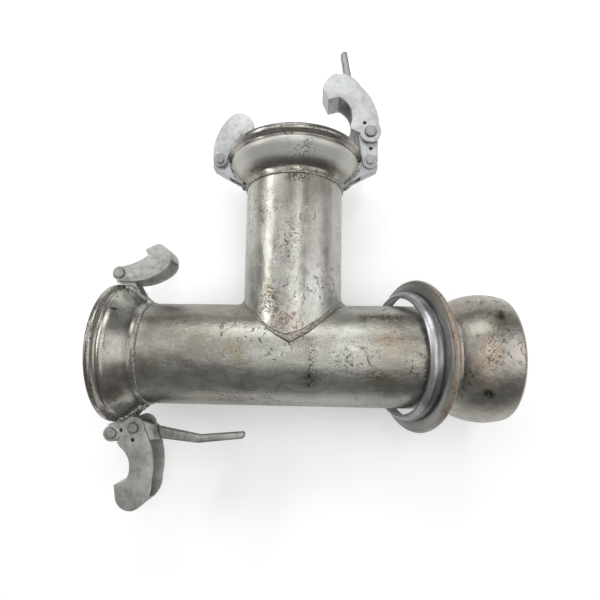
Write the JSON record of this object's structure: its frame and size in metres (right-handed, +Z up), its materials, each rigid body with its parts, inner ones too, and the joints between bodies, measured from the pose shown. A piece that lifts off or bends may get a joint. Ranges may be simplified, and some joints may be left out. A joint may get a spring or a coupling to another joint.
{
  "type": "pipe tee",
  "caption": "Steel pipe tee for quick-coupled irrigation pipe: cup sockets with hook and lever clamps on run and branch, a ball end and a loose closing ring.",
  "frame": {"origin": "centre of the run socket's mouth, on the run pipe's axis", "axes": "+X along the run from the socket to the ball end, +Y out along the branch, +Z up, along the hinge pins; the tee lies flat"},
  "size_m": [0.4149, 0.5094, 0.1528],
  "materials": {
    "pipe": "galvanised, worn and stained",
    "weld": "galvanised weld bead",
    "ring": "galvanised, rubbed bright",
    "run_clamp": "mottled hot-dip zinc",
    "branch_clamp": "bright zinc",
    "seal": "matt black rubber"
  },
  "bodies": {
    "tee": {"run_pipe": "pipe", "branch_pipe": "pipe", "saddle_weld": "weld", "run_cup": "pipe", "branch_cup": "pipe", "run_seal": "seal", "branch_seal": "seal", "ball_end": "pipe", "run_hook_lug": "run_clamp", "run_lever_lug": "run_clamp", "branch_hook_lug": "branch_clamp", "branch_lever_lug": "branch_clamp", "run_hook_rivet": "run_clamp", "run_lever_rivet": "run_clamp", "branch_hook_rivet": "branch_clamp", "branch_lever_rivet": "branch_clamp"},
    "ring": {"collar_ring": "ring"},
    "run_hook": {"run_short_hook": "run_clamp"},
    "run_handle": {"run_yoke": "run_clamp", "run_lever": "run_clamp"},
    "run_clasp": {"run_long_hook": "run_clamp", "run_link_rivet": "run_clamp"},
    "branch_hook": {"branch_short_hook": "branch_clamp"},
    "branch_handle": {"branch_yoke": "branch_clamp", "branch_lever": "branch_clamp"},
    "branch_clasp": {"branch_long_hook": "branch_clamp", "branch_link_rivet": "branch_clamp"}
  },
  "joints": [
    {"name": "ring_slide", "type": "slide", "parent": "tee", "child": "ring", "axis": [1, 0, 0], "range_m": [-0.028, 0.021]},
    {"name": "run_hook_hinge", "type": "hinge", "parent": "tee", "child": "run_hook", "pos_m": [0.004, 0.085, 0], "axis": [0, 0, 1], "range_deg": [-5, 168]},
    {"name": "run_handle_hinge", "type": "hinge", "parent": "tee", "child": "run_handle", "pos_m": [0.004, -0.085, 0], "axis": [0, 0, -1], "range_deg": [0, 194]},
    {"name": "run_clasp_hinge", "type": "hinge", "parent": "run_handle", "child": "run_clasp", "pos_m": [0.02916, -0.07845, 0], "axis": [0, 0, 1], "range_deg": [-70, 68]},
    {"name": "branch_hook_hinge", "type": "hinge", "parent": "tee", "child": "branch_hook", "pos_m": [0.1083, 0.2149, 0], "axis": [0, 0, 1], "range_deg": [-2, 180]},
    {"name": "branch_handle_hinge", "type": "hinge", "parent": "tee", "child": "branch_handle", "pos_m": [0.2737, 0.2135, 0], "axis": [0, 0, -1], "range_deg": [-2, 194]},
    {"name": "branch_clasp_hinge", "type": "hinge", "parent": "branch_handle", "child": "branch_clasp", "pos_m": [0.2737, 0.2445, 0], "axis": [0, 0, 1], "range_deg": [-2, 96]}
  ]
}
